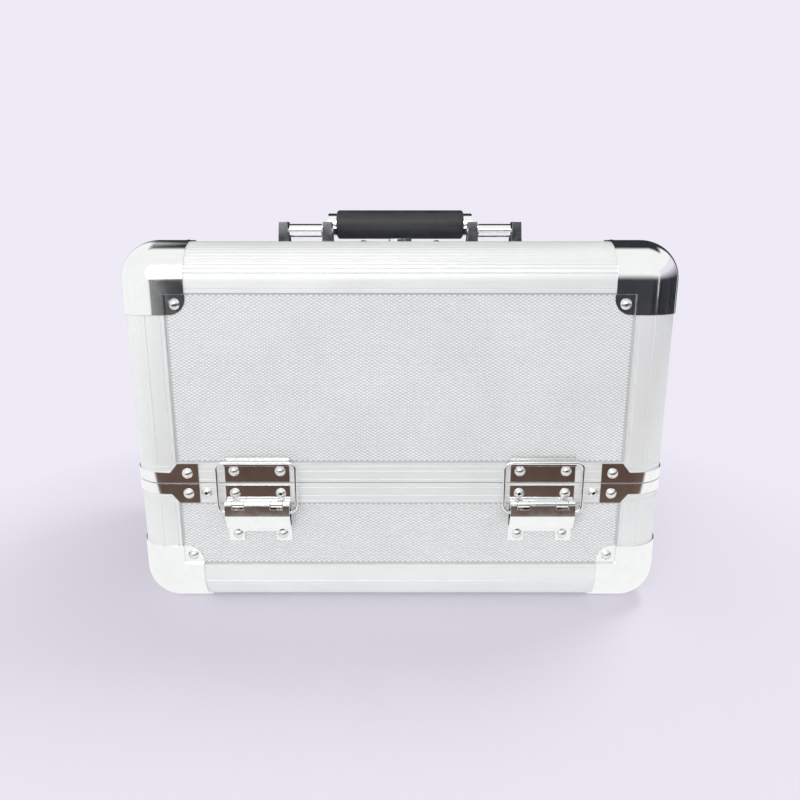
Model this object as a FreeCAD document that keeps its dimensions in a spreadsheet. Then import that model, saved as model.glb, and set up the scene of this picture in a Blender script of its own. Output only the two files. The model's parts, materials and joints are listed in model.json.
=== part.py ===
import FreeCAD, Part
import math
import os
import re
import Sketcher

# Makeup train case: an aluminium-edged box with a deep lid hinged at the back, two draw latches,
# a folding carry handle and two trays that ride up and back as the lid opens.
# Millimetres, +Z up, the front faces -Y, origin on the floor under the middle of the case.

SIZES = {
    # shell
    "case_width": 365, "case_depth": 220, "base_height": 93, "lid_height": 159,
    "edge_leg": 32, "edge_radius": 25, "edge_wall": 1.6,
    "panel_wall": 4.5, "panel_gap": 0.5,
    # rims at the seam
    "rim_height": 13.8, "rim_lip": 6, "seam_gap": 0.5,
    "tongue_wall": 2, "tongue_height": 5, "tongue_gap": 0.4,
    # pressed corner caps and rim clips
    "cap_reach": 46, "cap_wall": 0.9, "cap_ear_radius": 11,
    "clip_reach": 47, "clip_wall": 0.8, "clip_band": 7.5, "clip_neck": 28, "clip_shoulder": 5,
    # round-head rivets
    "rivet_radius": 3.6, "rivet_height": 2.2, "rivet_hole": 1.1, "rivet_hole_depth": 1.6,
    "floor_rivet_height": 1.1, "rivet_gap": 0.4, "rivet_edge": 2, "rim_rivet_inset": 51.5,
    # back hinges
    "hinge_inset": 82.5, "hinge_width": 50, "hinge_tall": 20, "hinge_leaf": 1.5,
    "hinge_out": 3.5, "knuckle_radius": 3, "hinge_pin_radius": 1.5, "knuckle_gap": 0.3,
    "running_gap": 0.05,
    # latches
    "latch_inset": 86.5, "latch_width": 43.5, "latch_wall": 1.2,
    "catch_tall": 17.5, "catch_rise": 0.8, "ridge_tall": 1.5, "ridge_drop": 0.2,
    "plate_drop": 1, "plate_tall": 41, "plate_notch": 22, "plate_notch_tall": 7,
    "latch_rivet_side": 15.5, "plate_rivet_down": 6.8,
    "plate_ear_rivet_down": 37,
    "lever_drop": 13.4, "lever_tall": 18.4, "lever_flat": 7.8, "lever_slope": 4.5, "lever_wall": 1.2,
    "lever_knuckle": 2.6, "lever_pin_radius": 1.2, "eye_offset": 13, "eye_width": 8,
    "over_centre": 0.6, "lug_offset": 15, "lug_width": 5, "lug_half": 2.4,
    "bail_width": 54.5, "bail_wire": 1.1, "bail_corner": 5, "bail_rise": 15.8,
    "bail_drop": 5.6, "bail_gap": 0.4,
    # carry handle
    "handle_plate_length": 204, "handle_plate_depth": 27, "handle_plate_wall": 1.5,
    "ear_tall": 16, "ear_foot": 8.4, "ear_head": 6.6, "ear_depth": 12,
    "inner_ear": 56.5, "outer_ear": 90.5, "handle_pivot_up": 9.5, "handle_pin_radius": 2,
    "barrel_radius": 5, "ear_gap": 0.4, "arm_wall": 5, "arm_reach": 38,
    "grip_radius": 11.6, "grip_half": 52.5, "grip_up": 15.4,
    "grip_end_radius": 9, "grip_end_wall": 7,
    "boss_flange": 13, "boss_radius": 8.5, "boss_flange_tall": 2, "boss_tall": 4.2, "boss_front": 28,
    # trays and their links
    "tray_side_gap": 11.4, "tray_wall": 3, "tray_floor": 2.5, "tray_tall": 40,
    "tray_divider": 2.5, "tray_lift": 3, "tray_pitch": 45,
    "lower_tray_back": 24, "upper_tray_back": 42, "tray_front_gap": 17.5,
    "lower_pivot_back": 54.2, "lower_pivot_up": 30,
    "upper_pivot_back": 107.8, "upper_pivot_up": 75,
    "lower_link_reach": 110, "upper_link_reach": 60, "link_drop": 7,
    "link_wide": 12, "link_wall": 2, "link_gap": 0.6, "link_pin_radius": 2.5,
    "link_head_radius": 4.5, "link_head_wall": 1.2, "open_pivot_gap": 0.3,
    "tray_pin_radius": 3, "collar_radius": 5, "collar_gap": 0.3, "pin_end": 1,
    # lining
    "pad_wall": 3, "pad_gap": 6,
}
TRAY_POCKETS = 3
OVER = "1"  # how far a cutting tool passes through the faces that it opens
CLOSE = 1e-3  # points nearer than this are one point
QUARTER_TURN = 90

doc = FreeCAD.newDocument("makeup_train_case")
sheet = doc.addObject("Spreadsheet::Sheet", "Sizes")
for row, (alias, size) in enumerate(SIZES.items(), start=1):
    sheet.set(f"A{row}", alias)
    sheet.set(f"B{row}", str(size))
    sheet.setAlias(f"B{row}", alias)
doc.recompute()

# Places that several pieces share, as formulas on the sheet's aliases.
HALF_W = "case_width / 2"
HALF_D = "case_depth / 2"
TOP = "(base_height + lid_height)"
SEAM = "base_height"
PANEL_EDGE = "(edge_radius + panel_gap)"
SKIN = "(edge_wall + panel_wall)"
BASE_RIM = "(base_height - seam_gap / 2 - rim_height)"
LID_RIM = "(base_height + seam_gap / 2)"
HINGE_Y = "(case_depth / 2 + hinge_out)"


def bound(formula):
    """A formula with each alias written as a reference to the sheet."""
    return re.sub(r"[a-z][a-z_]*",
                  lambda word: f"Sizes.{word[0]}" if word[0] in SIZES else word[0], formula)


def measure(formula):
    """The present value of a formula, in millimetres."""
    return float(sheet.evalExpression(bound(formula)))


def bind(item, **formulas):
    for name, formula in formulas.items():
        item.setExpression(name, bound(formula))


def place(item, at):
    for axis, formula in zip("xyz", at):
        item.setExpression(f"Placement.Base.{axis}", bound(formula))
    return item


def block(name, low, size):
    item = doc.addObject("Part::Box", name)
    bind(item, Length=size[0], Width=size[1], Height=size[2])
    return place(item, low)


AXIS_X, AXIS_Y, AXIS_Z = FreeCAD.Vector(1, 0, 0), FreeCAD.Vector(0, 1, 0), FreeCAD.Vector(0, 0, 1)
TURNS = {
    "+X": FreeCAD.Rotation(AXIS_Y, 90), "-X": FreeCAD.Rotation(AXIS_Y, -90),
    "+Y": FreeCAD.Rotation(AXIS_X, -90), "-Y": FreeCAD.Rotation(AXIS_X, 90),
    "+Z": FreeCAD.Rotation(), "-Z": FreeCAD.Rotation(AXIS_X, 180),
}


def rod(name, start, facing, radius, length):
    """A round bar from start along the direction facing."""
    item = doc.addObject("Part::Cylinder", name)
    bind(item, Radius=radius, Height=length)
    item.Placement = FreeCAD.Placement(FreeCAD.Vector(), TURNS[facing])
    return place(item, start)


def cut(name, base, *tools):
    item = doc.addObject("Part::Cut", name)
    item.Base = base
    item.Tool = tools[0] if len(tools) == 1 else fuse(f"{name}_tools", *tools)
    return item


def fuse(name, *pieces):
    item = doc.addObject("Part::MultiFuse", name)
    item.Shapes = list(pieces)
    item.Refine = True
    return item


def group(name, *pieces):
    item = doc.addObject("Part::Compound", name)
    item.Links = list(pieces)
    return item


def mirror(name, source, axis, at="0"):
    """A copy on the other side of the plane across axis, at that distance from the origin."""
    item = doc.addObject("Part::Mirroring", name)
    item.Source = source
    item.Normal = FreeCAD.Vector(*(float(axis == other) for other in "xyz"))
    item.setExpression(f"Base.{axis}", bound(at))
    return item


def arc_centre(start, end, radius, turn):
    middle = (start + end) * 0.5
    chord = end - start
    rise = math.sqrt(max(radius ** 2 - chord.Length ** 2 / 4, 0.0))
    left = FreeCAD.Vector(-chord.y, chord.x, 0).normalize()
    return middle + left * (rise * turn)


def draw(sketch, corners, arcs):
    """A closed outline. arcs gives a radius and a turn (1 left, -1 right) for the run after a corner."""
    points = [FreeCAD.Vector(measure(x), measure(y), 0) for x, y in corners]
    ends = []
    for run, start in enumerate(points):
        end = points[(run + 1) % len(points)]
        if run not in arcs:
            sketch.addGeometry(Part.LineSegment(start, end), False)
            ends.append((1, 2))
            continue
        radius, turn = arcs[run]
        centre = arc_centre(start, end, measure(radius), turn)
        first, last = (start, end) if turn > 0 else (end, start)
        angles = [math.atan2(point.y - centre.y, point.x - centre.x) for point in (first, last)]
        circle = Part.Circle(centre, AXIS_Z, measure(radius))
        sketch.addGeometry(Part.ArcOfCircle(circle, *angles), False)
        ends.append((1, 2) if turn > 0 else (2, 1))
    for run in range(len(points)):
        after = (run + 1) % len(points)
        sketch.addConstraint(Sketcher.Constraint("Coincident", run, ends[run][1], after, ends[after][0]))
    for run, corner in enumerate(corners):
        for kind, formula in zip(("DistanceX", "DistanceY"), corner):
            rule = Sketcher.Constraint(kind, -1, 1, run, ends[run][0], measure(formula))
            sketch.setExpression(f"Constraints[{sketch.addConstraint(rule)}]", bound(formula))
    for run, (radius, turn) in arcs.items():
        rule = Sketcher.Constraint("Radius", run, measure(radius))
        sketch.setExpression(f"Constraints[{sketch.addConstraint(rule)}]", bound(radius))


def prism(name, plane, corners, length, at, arcs=None):
    """A body padded from an outline. XY pads along +Z, YZ along +X and XZ along -Y."""
    body = doc.addObject("PartDesign::Body", name)
    sketch = body.newObject("Sketcher::SketchObject", f"{name}_outline")
    support = [item for item in body.Origin.OriginFeatures if item.Role == f"{plane}_Plane"][0]
    sketch.AttachmentSupport = [(support, "")]
    sketch.MapMode = "FlatFace"
    draw(sketch, corners, arcs or {})
    pad = body.newObject("PartDesign::Pad", f"{name}_pad")
    pad.Profile = sketch
    bind(pad, Length=length)
    body.Tip = pad
    return place(body, at)


def sign(side, formula):
    return f"{side} * ({formula})"


# Shell edges: a quarter-round aluminium angle, its corner at the outline's origin.
ANGLE = [("edge_leg", "0"), ("edge_radius", "0"), ("0", "edge_radius"), ("0", "edge_leg"),
         ("edge_wall", "edge_leg"), ("edge_wall", "edge_radius"), ("edge_radius", "edge_wall"),
         ("edge_leg", "edge_wall")]
ANGLE_ARCS = {1: ("edge_radius", -1), 5: ("edge_radius - edge_wall", 1)}
MIDDLE = f"(cap_wall + {TOP}) / 2"
LENGTH_X = f"2 * ({HALF_W} - edge_leg)"
LENGTH_Y = f"2 * ({HALF_D} - edge_leg)"

base_edges = {
    "front": prism("base_edge_front", "YZ", ANGLE, LENGTH_X,
                   (f"edge_leg - {HALF_W}", f"-{HALF_D}", "cap_wall"), ANGLE_ARCS),
    "left": prism("base_edge_left", "XZ", ANGLE, LENGTH_Y,
                  (f"-{HALF_W}", f"{HALF_D} - edge_leg", "cap_wall"), ANGLE_ARCS),
}
base_edges["back"] = mirror("base_edge_back", base_edges["front"], "y")
base_edges["right"] = mirror("base_edge_right", base_edges["left"], "x")
lid_edges = {side: mirror(f"lid_edge_{side}", edge, "z", MIDDLE) for side, edge in base_edges.items()}


def four(name, first):
    """A piece at the front left corner and its three mirror images, as one group."""
    right = mirror(f"{name}_right", first, "x")
    return group(name, first, right, mirror(f"{name}_back_left", first, "y"),
                 mirror(f"{name}_back_right", right, "y"))


base_posts = four("base_corner_posts", prism(
    "base_post", "XY", ANGLE, f"{BASE_RIM} - cap_wall - edge_leg",
    (f"-{HALF_W}", f"-{HALF_D}", "cap_wall + edge_leg"), ANGLE_ARCS))
lid_posts = four("lid_corner_posts", prism(
    "lid_post", "XY", ANGLE, f"{TOP} - edge_leg - {LID_RIM} - rim_height",
    (f"-{HALF_W}", f"-{HALF_D}", f"{LID_RIM} + rim_height"), ANGLE_ARCS))

# Panels: flat boards with an embossed metal face, seated behind the edges' legs.
WALL_X = f"2 * ({HALF_W} - {PANEL_EDGE})"
WALL_Y = f"2 * ({HALF_D} - {PANEL_EDGE})"


def wall_panels(half, low, tall):
    panels = {}
    for side, y in (("front", f"edge_wall - {HALF_D}"), ("back", f"{HALF_D} - {SKIN}")):
        panels[side] = block(f"{half}_{side}_panel", (f"{PANEL_EDGE} - {HALF_W}", y, low),
                             (WALL_X, "panel_wall", tall))
    for side, x in (("left", f"edge_wall - {HALF_W}"), ("right", f"{HALF_W} - {SKIN}")):
        panels[side] = block(f"{half}_{side}_panel", (x, f"{PANEL_EDGE} - {HALF_D}", low),
                             ("panel_wall", WALL_Y, tall))
    return panels


base_low = f"cap_wall + {PANEL_EDGE}"
base_panels = wall_panels("base", base_low, f"{BASE_RIM} + rim_lip - ({base_low})")
lid_low = f"{LID_RIM} + rim_height - rim_lip"
lid_panels = wall_panels("lid", lid_low, f"{TOP} - {PANEL_EDGE} - ({lid_low})")
FLAT = (f"{PANEL_EDGE} - {HALF_W}", f"{PANEL_EDGE} - {HALF_D}")
base_floor = block("base_floor_panel", (*FLAT, "cap_wall + edge_wall"), (WALL_X, WALL_Y, "panel_wall"))
lid_top = block("lid_top_panel", (*FLAT, f"{TOP} - {SKIN}"), (WALL_X, WALL_Y, "panel_wall"))


def rounded_plate(name, inset, low, tall):
    """A plate of the case's plan, drawn in by inset all round."""
    x, y, r = f"{HALF_W} - ({inset})", f"{HALF_D} - ({inset})", f"edge_radius - ({inset})"
    corners = [(f"-({x}) + {r}", f"-({y})"), (f"{x} - ({r})", f"-({y})"), (x, f"-({y}) + {r}"),
               (x, f"{y} - ({r})"), (f"{x} - ({r})", y), (f"-({x}) + {r}", y),
               (f"-({x})", f"{y} - ({r})"), (f"-({x})", f"-({y}) + {r}")]
    return prism(name, "XY", corners, tall, ("0", "0", low), {run: (r, 1) for run in (1, 3, 5, 7)})


# Rims: one bent extrusion round each half. The lower one has a tongue that enters the upper one.
base_rim = cut(
    "base_rim",
    fuse("base_rim_outer", rounded_plate("base_rim_band", "0", BASE_RIM, "rim_height"),
         rounded_plate("base_rim_tongue", f"{SKIN} - tongue_wall", BASE_RIM, "rim_height + tongue_height")),
    rounded_plate("base_rim_mouth", SKIN, f"{BASE_RIM} - {OVER}", f"rim_height + tongue_height + 2 * {OVER}"),
    rounded_plate("base_rim_rabbet", "edge_wall", f"{BASE_RIM} - {OVER}", f"rim_lip + {OVER}"))
lid_rim = cut(
    "lid_rim",
    rounded_plate("lid_rim_band", "0", LID_RIM, "rim_height"),
    rounded_plate("lid_rim_mouth", SKIN, f"{LID_RIM} - {OVER}", f"rim_height + 2 * {OVER}"),
    rounded_plate("lid_rim_rabbet", "edge_wall", f"{LID_RIM} + rim_height - rim_lip", f"rim_lip + {OVER}"),
    rounded_plate("lid_rim_groove", f"{SKIN} - tongue_wall - tongue_gap", f"{LID_RIM} - {OVER}",
                  f"tongue_height + tongue_gap + {OVER}"))


def rounded_corner(name, low, side, radius):
    """A cube whose three edges at its low corner are rounded, as at a case corner."""
    far = f"{low} + {side}"
    body = prism(name, "XY", [(low, low), (far, low), (far, far), (low, far)], side, ("0", "0", low))
    doc.recompute()
    pad = body.Tip
    box = pad.Shape.BoundBox
    corner = FreeCAD.Vector(box.XMin, box.YMin, box.ZMin)
    names = [f"Edge{number}" for number, edge in enumerate(pad.Shape.Edges, start=1)
             if any(vertex.Point.isEqual(corner, CLOSE) for vertex in edge.Vertexes)]
    rounding = body.newObject("PartDesign::Fillet", f"{name}_rounding")
    rounding.Base = (pad, names)
    bind(rounding, Radius=radius)
    body.Tip = rounding
    return body


def turned_block(name, axis, across_low, across_size, along_low, along_size):
    """A block that is square across axis, with the same place and size both ways."""
    low = [across_low if other != axis else along_low for other in "xyz"]
    size = [across_size if other != axis else along_size for other in "xyz"]
    return block(name, low, size)


def corner_cap():
    """A pressed ball corner whose three ears step down on to the panels."""
    shell = cut("cap_shell", rounded_corner("cap_outside", "-cap_wall", "(cap_reach + cap_wall)",
                                            "edge_radius + cap_wall"),
                rounded_corner("cap_inside", "0", f"(cap_reach + {OVER})", "edge_radius"))
    ears, pockets = [], []
    for axis, facing in zip("xyz", ("+X", "+Y", "+Z")):
        ears.append(turned_block(f"cap_ear_{axis}", axis, "edge_leg", "cap_reach - edge_leg",
                                 "-cap_wall", "edge_wall + cap_wall"))
        pockets.append(turned_block(f"cap_pocket_{axis}", axis, "edge_leg + cap_wall", "cap_reach",
                                    "-2 * cap_wall", "edge_wall + cap_wall"))
        square = turned_block(f"cap_square_{axis}", axis, "cap_reach - cap_ear_radius", "cap_reach",
                              "-2 * cap_wall", "edge_wall + 3 * cap_wall")
        centre = ["cap_reach - cap_ear_radius"] * 3
        centre["xyz".index(axis)] = "-3 * cap_wall"
        round_ = rod(f"cap_round_{axis}", centre, facing, "cap_ear_radius", "edge_wall + 6 * cap_wall")
        pockets.append(cut(f"cap_trim_{axis}", square, round_))
    return place(cut("base_cap_front_left", fuse("cap_body", shell, *ears), *pockets),
                 (f"-{HALF_W}", f"-{HALF_D}", "cap_wall"))


base_caps = {"front_left": corner_cap()}
base_caps["front_right"] = mirror("base_cap_front_right", base_caps["front_left"], "x")
for side in ("left", "right"):
    base_caps[f"back_{side}"] = mirror(f"base_cap_back_{side}", base_caps[f"front_{side}"], "y")
lid_caps = {corner: mirror(f"lid_cap_{corner}", cap, "z", MIDDLE) for corner, cap in base_caps.items()}


def rim_clips():
    """Chromed strips that wrap the rims' rounded corners, with a riveted tab at each end."""
    far, out, r = "clip_reach", "-clip_wall", "edge_radius"
    strip = prism("clip_strip", "XY",
                  [(far, out), (r, out), (out, r), (out, far), ("0", far), ("0", r), (r, "0"), (far, "0")],
                  "rim_height", ("0", "0", "0"),
                  {1: ("edge_radius + clip_wall", -1), 5: ("edge_radius", 1)})
    outside, neck_z = "-2 * clip_wall", "rim_height - clip_band"
    neck = [(outside, f"-{OVER}"), ("clip_neck + clip_shoulder", f"-{OVER}"),
            ("clip_neck + clip_shoulder", "0"), ("clip_neck", neck_z), (outside, neck_z)]
    deep = "edge_radius + 2 * clip_wall"
    front_notch = prism("clip_front_notch", "XZ", neck, deep, ("0", "edge_radius", "0"))
    side_notch = prism("clip_side_notch", "YZ", neck, deep, (outside, "0", "0"))
    first = place(cut("clip_front_left", strip, front_notch, side_notch),
                  (f"-{HALF_W}", f"-{HALF_D}", BASE_RIM))
    base = four("base_rim_clips", first)
    return base, mirror("lid_rim_clips", base, "z", SEAM)


base_clips, lid_clips = rim_clips()


def rivet(name, at, facing, tall="rivet_height", hollow=False):
    """A round rivet head on the sheet that it holds. A hollow one is a blind rivet with an open stem."""
    axis, side = "xyz".index(facing[1].lower()), 1 if facing[0] == "+" else -1
    ball = f"((rivet_radius ^ 2 + {tall} ^ 2) / (2 * {tall}))"
    centre = list(at)
    centre[axis] = f"{at[axis]} - ({side}) * ({ball} - {tall})"
    item = doc.addObject("Part::Sphere", name)
    bind(item, Radius=ball, Angle1=f"asin(({ball} - {tall}) / {ball})")
    item.Placement = FreeCAD.Placement(FreeCAD.Vector(), TURNS[facing])
    place(item, centre)
    if not hollow:
        return item
    mouth = list(at)
    mouth[axis] = f"{at[axis]} + ({side}) * ({tall} - rivet_hole_depth)"
    stem = rod(f"{name}_stem", mouth, facing, "rivet_hole", "2 * rivet_hole_depth")
    return cut(f"{name}_blind", item, stem)


EAR_SEAT = "(edge_wall - cap_wall)"
EAR_IN = "((edge_leg + cap_reach) / 2)"
TAB_IN = "((edge_leg + clip_reach) / 2)"
rivets = {"base": [], "lid": []}


def corner_rivets(half, low_z, end_facing, end_z, end_tall, clip_z):
    """The rivets of the caps' ears and of the clips' tabs, at all four corners of one half."""
    for x_side in (-1, 1):
        for y_side in (-1, 1):
            tag = f"{half}_rivet_{'left' if x_side < 0 else 'right'}_{'front' if y_side < 0 else 'back'}"
            face_x, face_y = ("-X" if x_side < 0 else "+X"), ("-Y" if y_side < 0 else "+Y")
            in_x, in_y = sign(x_side, f"{HALF_W} - {EAR_IN}"), sign(y_side, f"{HALF_D} - {EAR_IN}")
            on_x, on_y = sign(x_side, f"{HALF_W} - {EAR_SEAT}"), sign(y_side, f"{HALF_D} - {EAR_SEAT}")
            tab_x, tab_y = sign(x_side, f"{HALF_W} - {TAB_IN}"), sign(y_side, f"{HALF_D} - {TAB_IN}")
            clip_x, clip_y = sign(x_side, f"{HALF_W} + clip_wall"), sign(y_side, f"{HALF_D} + clip_wall")
            rivets[half] += [
                rivet(f"{tag}_face", (in_x, on_y, low_z), face_y),
                rivet(f"{tag}_side", (on_x, in_y, low_z), face_x),
                rivet(f"{tag}_end", (in_x, in_y, end_z), end_facing, end_tall),
                rivet(f"{tag}_clip_face", (tab_x, clip_y, clip_z), face_y),
                rivet(f"{tag}_clip_side", (clip_x, tab_y, clip_z), face_x)]


corner_rivets("base", f"cap_wall + {EAR_IN}", "-Z", f"cap_wall + {EAR_SEAT}", "floor_rivet_height",
              f"{BASE_RIM} + rim_height / 2")
corner_rivets("lid", f"{TOP} - {EAR_IN}", "+Z", f"{TOP} - {EAR_SEAT}", "rivet_height",
              f"{LID_RIM} + rim_height / 2")

# Back hinges: two leaves and a pin each. The lid's leaf has the outer knuckles.
PIN_BORE = "(hinge_pin_radius + running_gap)"
KNUCKLE = "(hinge_width / 3)"


def hinge(side, name):
    middle = sign(side, f"{HALF_W} - hinge_inset")
    left = f"{middle} - hinge_width / 2"
    on_back = HALF_D

    def knuckle(tag, start, length):
        return rod(tag, (start, HINGE_Y, SEAM), "+X", "knuckle_radius", length)

    def leaf(tag, low):
        return block(tag, (left, on_back, low), ("hinge_width", "hinge_leaf", "hinge_tall"))

    def clearance(tag, start, length):
        return block(tag, (start, on_back, f"{SEAM} - knuckle_radius - knuckle_gap"),
                     (length, "hinge_out + knuckle_radius + knuckle_gap",
                      "2 * (knuckle_radius + knuckle_gap)"))

    def bore(tag):
        return rod(tag, (f"{left} - {OVER}", HINGE_Y, SEAM), "+X", PIN_BORE, f"hinge_width + 2 * {OVER}")

    wide = f"{KNUCKLE} - knuckle_gap / 2"
    right = f"{left} + 2 * {KNUCKLE} + knuckle_gap / 2"
    inner = f"{left} + {KNUCKLE}"
    lid_leaf = cut(f"{name}_lid_leaf", fuse(
        f"{name}_lid_knuckles",
        cut(f"{name}_lid_blank", leaf(f"{name}_lid_sheet", f"{SEAM} + seam_gap / 2"),
            clearance(f"{name}_lid_clear", f"{inner} - knuckle_gap / 2", f"{KNUCKLE} + knuckle_gap")),
        knuckle(f"{name}_lid_knuckle_left", left, wide), knuckle(f"{name}_lid_knuckle_right", right, wide)),
        bore(f"{name}_lid_bore"))
    base_leaf = cut(f"{name}_base_leaf", fuse(
        f"{name}_base_knuckles",
        cut(f"{name}_base_blank", leaf(f"{name}_base_sheet", f"{SEAM} - seam_gap / 2 - hinge_tall"),
            clearance(f"{name}_base_clear_left", f"{left} - {OVER}",
                      f"{KNUCKLE} + knuckle_gap / 2 + {OVER}"),
            clearance(f"{name}_base_clear_right", f"{left} + 2 * {KNUCKLE} - knuckle_gap / 2",
                      f"{KNUCKLE} + {OVER}")),
        knuckle(f"{name}_base_knuckle", f"{inner} + knuckle_gap / 2", f"{KNUCKLE} - knuckle_gap")),
        bore(f"{name}_base_bore"))
    pin = rod(f"{name}_pin", (left, HINGE_Y, SEAM), "+X", "hinge_pin_radius", "hinge_width")
    on_leaf = f"{HALF_D} + hinge_leaf"
    for step in (-1, 1):
        x = f"{middle} + {step} * hinge_width / 3"
        for half, way in (("lid", 1), ("base", -1)):
            z = f"{SEAM} + {way} * (hinge_tall - rivet_radius - rivet_edge)"
            tag = f"{name}_{half}_rivet_{'a' if step < 0 else 'b'}"
            rivets[half].append(rivet(tag, (x, on_leaf, z), "+Y"))
    return lid_leaf, base_leaf, pin


hinges = [hinge(side, f"hinge_{name}") for side, name in ((-1, "left"), (1, "right"))]
lid_leaves, base_leaves, hinge_pins = (
    group(name, *pieces)
    for name, pieces in zip(("hinge_lid_leaves", "hinge_base_leaves", "hinge_pins"), zip(*hinges)))

# Draw latches: a catch on the lid, a plate with eyes on the base, a lever and a wire bail.
FACE = f"(-{HALF_D})"
BAIL_Y = f"({FACE} - latch_wall - rivet_height - bail_gap - bail_wire)"
PIVOT_Y = f"({BAIL_Y} + over_centre)"
PIVOT_Z = f"({SEAM} - lever_drop)"
BAIL_Z = f"({PIVOT_Z} - bail_drop)"
LEVER_FRONT = f"({PIVOT_Y} - lever_knuckle - lever_wall / 2)"
RIDGE_Z = f"({SEAM} + bail_rise - bail_wire - ridge_drop - ridge_tall)"


def latch_catch(name, middle):
    left = f"{middle} - latch_width / 2"
    low = f"{LID_RIM} + catch_rise"
    return fuse(f"{name}_catch",
                block(f"{name}_catch_sheet", (left, f"{FACE} - latch_wall", low),
                      ("latch_width", "latch_wall", "catch_tall")),
                block(f"{name}_catch_ridge", (left, f"{FACE} - latch_wall - rivet_height", RIDGE_Z),
                      ("latch_width", "rivet_height + latch_wall", "ridge_tall")))


def latch_plate(name, middle):
    left = f"{middle} - latch_width / 2"
    rim_foot = BASE_RIM
    upper_top = f"{SEAM} - seam_gap / 2 - plate_drop"
    lower = f"{upper_top} - plate_tall"
    on_panel = f"{FACE} + edge_wall - latch_wall"
    pieces = [
        block(f"{name}_plate_upper", (left, f"{FACE} - latch_wall", f"{rim_foot} - latch_wall"),
              ("latch_width", "latch_wall", f"{upper_top} - {rim_foot} + latch_wall")),
        block(f"{name}_plate_step", (left, f"{FACE} - latch_wall", f"{rim_foot} - latch_wall"),
              ("latch_width", "latch_wall + edge_wall", "latch_wall")),
        block(f"{name}_plate_lower", (left, on_panel, lower),
              ("latch_width", "latch_wall", f"{rim_foot} - ({lower})"))]
    for step in (-1, 1):
        start = f"{middle} + {step} * eye_offset - eye_width / 2"
        tag = f"{name}_eye_{'a' if step < 0 else 'b'}"
        pieces += [rod(tag, (start, PIVOT_Y, PIVOT_Z), "+X", "lever_knuckle", "eye_width"),
                   block(f"{tag}_web", (start, PIVOT_Y, f"{PIVOT_Z} - lever_knuckle / 2"),
                         ("eye_width", f"{FACE} - latch_wall - {PIVOT_Y} + latch_wall", "lever_knuckle"))]
    scallop = block(f"{name}_plate_scallop",
                    (f"{middle} - plate_notch / 2", f"{on_panel} - {OVER}", f"{lower} - {OVER}"),
                    ("plate_notch", f"latch_wall + 2 * {OVER}", f"plate_notch_tall + {OVER}"))
    bore = rod(f"{name}_plate_bore", (f"{left} - {OVER}", PIVOT_Y, PIVOT_Z), "+X",
               "lever_pin_radius + running_gap", f"latch_width + 2 * {OVER}")
    return cut(f"{name}_plate", fuse(f"{name}_plate_blank", *pieces), scallop, bore)


def latch_lever(name, middle):
    left = f"{middle} - latch_width / 2"
    back = f"{LEVER_FRONT} + lever_wall"
    bend, foot = f"{PIVOT_Z} - lever_flat", f"{PIVOT_Z} - lever_tall"
    outline = [(LEVER_FRONT, PIVOT_Z), (LEVER_FRONT, bend), (f"{LEVER_FRONT} + lever_slope", foot),
               (f"{back} + lever_slope", foot), (back, bend), (back, PIVOT_Z)]
    pieces = [
        prism(f"{name}_lever_sheet", "YZ", outline, "latch_width", (left, "0", "0")),
        rod(f"{name}_lever_roll", (left, PIVOT_Y, PIVOT_Z), "+X", "lever_knuckle", "latch_width")]
    through = f"latch_width + 2 * {OVER}"
    tools = [rod(f"{name}_lever_bore", (f"{left} - {OVER}", PIVOT_Y, PIVOT_Z), "+X",
                 "lever_pin_radius + running_gap", through),
             rod(f"{name}_bail_bore", (f"{left} - {OVER}", BAIL_Y, BAIL_Z), "+X",
                 "bail_wire + running_gap", through)]
    for step in (-1, 1):
        tag = f"{name}_{'a' if step < 0 else 'b'}"
        lug = f"{middle} + {step} * lug_offset - lug_width / 2"
        pieces.append(block(f"{tag}_lug", (lug, f"{LEVER_FRONT} + lever_wall / 2", f"{BAIL_Z} - lug_half"),
                            ("lug_width", f"{BAIL_Y} + lug_half - {LEVER_FRONT} - lever_wall / 2",
                             "2 * lug_half")))
        slot = f"{middle} + {step} * eye_offset - eye_width / 2 - knuckle_gap"
        tools.append(block(
            f"{tag}_slot", (slot, f"{LEVER_FRONT} - {OVER}", f"{PIVOT_Z} - lever_knuckle - knuckle_gap"),
            ("eye_width + 2 * knuckle_gap", f"{PIVOT_Y} - {LEVER_FRONT} + lever_knuckle + 2 * {OVER}",
             "2 * lever_knuckle + 2 * knuckle_gap")))
    return cut(f"{name}_lever", fuse(f"{name}_lever_blank", *pieces), *tools)


def latch_bail(name, middle):
    """A wire loop: four straight runs and four quarter turns."""
    half = "(bail_width / 2 - bail_wire)"
    top = f"({SEAM} + bail_rise)"
    run_x, run_z = f"2 * ({half} - bail_corner)", f"{top} - {BAIL_Z} - 2 * bail_corner"
    pieces = []
    for tag, z in (("top", top), ("foot", BAIL_Z)):
        pieces.append(rod(f"{name}_bail_{tag}", (f"{middle} - {half} + bail_corner", BAIL_Y, z), "+X",
                          "bail_wire", run_x))
    for step in (-1, 1):
        tag = f"{name}_bail_{'a' if step < 0 else 'b'}"
        pieces.append(rod(tag, (f"{middle} + {step} * {half}", BAIL_Y, f"{BAIL_Z} + bail_corner"), "+Z",
                          "bail_wire", run_z))
        for level, z, start in (("top", f"{top} - bail_corner", 0 if step > 0 else 90),
                                ("foot", f"{BAIL_Z} + bail_corner", 270 if step > 0 else 180)):
            bend = doc.addObject("Part::Torus", f"{tag}_{level}_bend")
            bind(bend, Radius1="bail_corner", Radius2="bail_wire")
            bend.Angle3 = QUARTER_TURN
            upright = FreeCAD.Rotation(AXIS_X, 90)
            turn = FreeCAD.Rotation(AXIS_Z, start)
            bend.Placement = FreeCAD.Placement(FreeCAD.Vector(), upright.multiply(turn))
            pieces.append(place(bend, (f"{middle} + {step} * ({half} - bail_corner)", BAIL_Y, z)))
    return fuse(f"{name}_bail", *pieces)


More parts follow.
